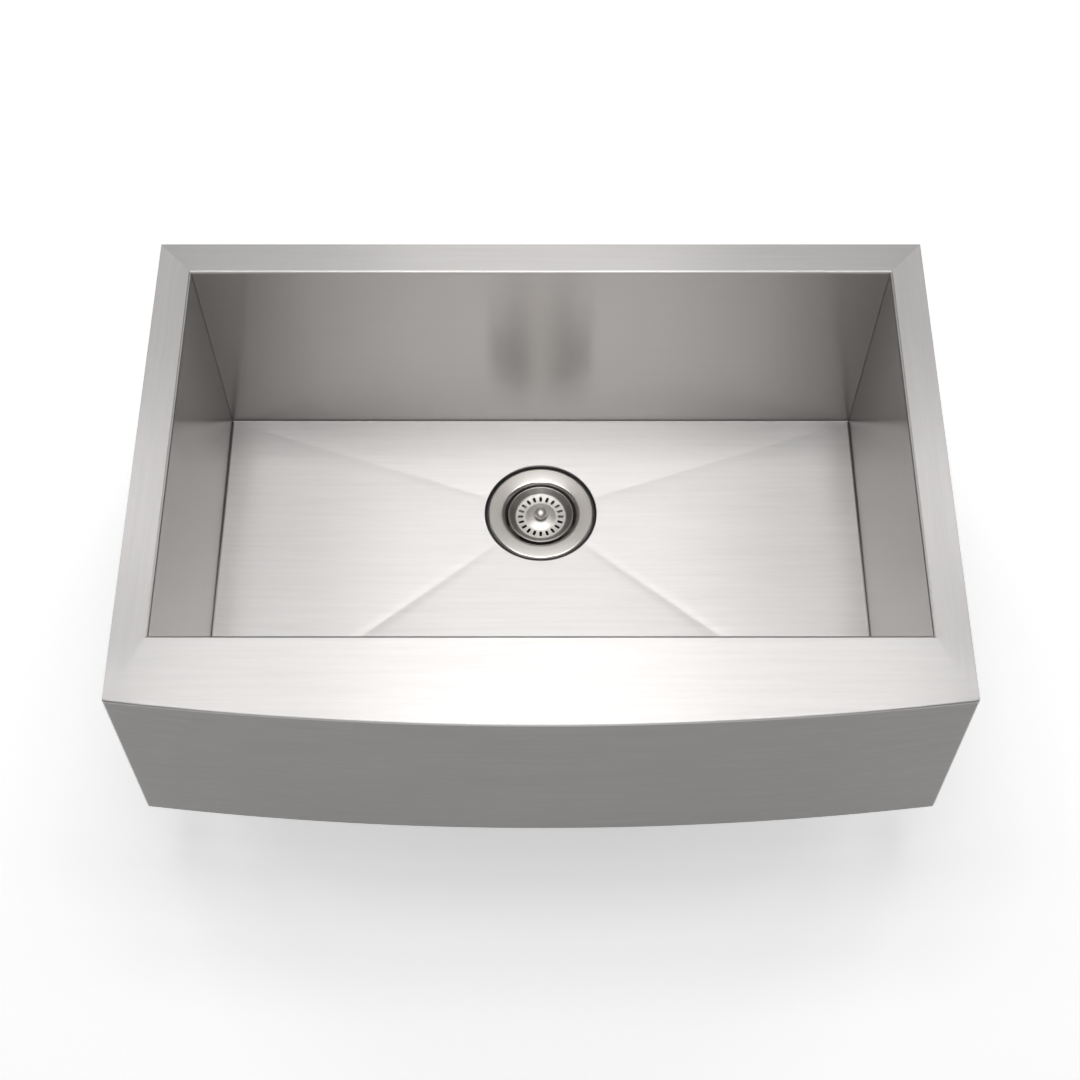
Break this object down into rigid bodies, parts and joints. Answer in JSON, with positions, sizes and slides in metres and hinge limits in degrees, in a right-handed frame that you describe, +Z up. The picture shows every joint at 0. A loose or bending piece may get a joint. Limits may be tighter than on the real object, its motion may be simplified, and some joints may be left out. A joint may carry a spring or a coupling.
{
  "type": "apron front sink",
  "caption": "Single-bowl apron front kitchen sink in brushed stainless steel, with a bowed front, a creased floor and a lift-out basket strainer.",
  "frame": {"origin": "centre of the bowl's opening, level with the top face of the rim, where the part hangs in a worktop cut-out", "axes": "+X to the right as seen from the user's side, +Y to the back, +Z up; the apron faces -Y"},
  "size_m": [0.762, 0.5335, 0.332],
  "materials": {
    "brushed_steel": "satin stainless steel, ground in straight lines along each face",
    "mill_steel": "unpolished stainless steel strip",
    "strainer_steel": "fine satin stainless steel, turned",
    "cast_zinc": null,
    "pad_rubber": "black bitumen rubber sound pad, matt",
    "seal_rubber": "black moulded rubber",
    "fibre": "pressed brown fibre",
    "white_plastic": "natural nylon"
  },
  "bodies": {
    "sink": {"bowl_shell": "brushed_steel", "apron_panel": "brushed_steel", "apron_bracket_left": "mill_steel", "apron_bracket_right": "mill_steel", "floor_pad_left": "pad_rubber", "floor_pad_right": "pad_rubber", "floor_pad_front": "pad_rubber", "floor_pad_back": "pad_rubber", "wall_pad_left": "pad_rubber", "wall_pad_right": "pad_rubber", "wall_pad_front": "pad_rubber", "wall_pad_back": "pad_rubber", "apron_pad": "pad_rubber", "strainer_cup": "strainer_steel", "flange_seal": "seal_rubber", "sink_gasket": "seal_rubber", "friction_ring": "fibre", "locknut": "cast_zinc", "outlet_spigot": "cast_zinc", "tailpiece_washer": "white_plastic", "coupling_nut": "cast_zinc"},
    "stopper": {"basket_stopper": "seal_rubber"},
    "basket": {"basket_dish": "strainer_steel", "basket_knob": "strainer_steel", "basket_stem": "strainer_steel", "stem_nut": "cast_zinc", "stem_clip": "strainer_steel"}
  },
  "joints": [
    {"name": "basket_lift", "type": "slide", "parent": "sink", "child": "stopper", "axis": [0, 0, 1], "range_m": [0, 0.33]},
    {"name": "basket_turn", "type": "hinge", "parent": "stopper", "child": "basket", "pos_m": [0, 0.0805, -0.26], "axis": [0, 0, 1], "continuous": true}
  ]
}
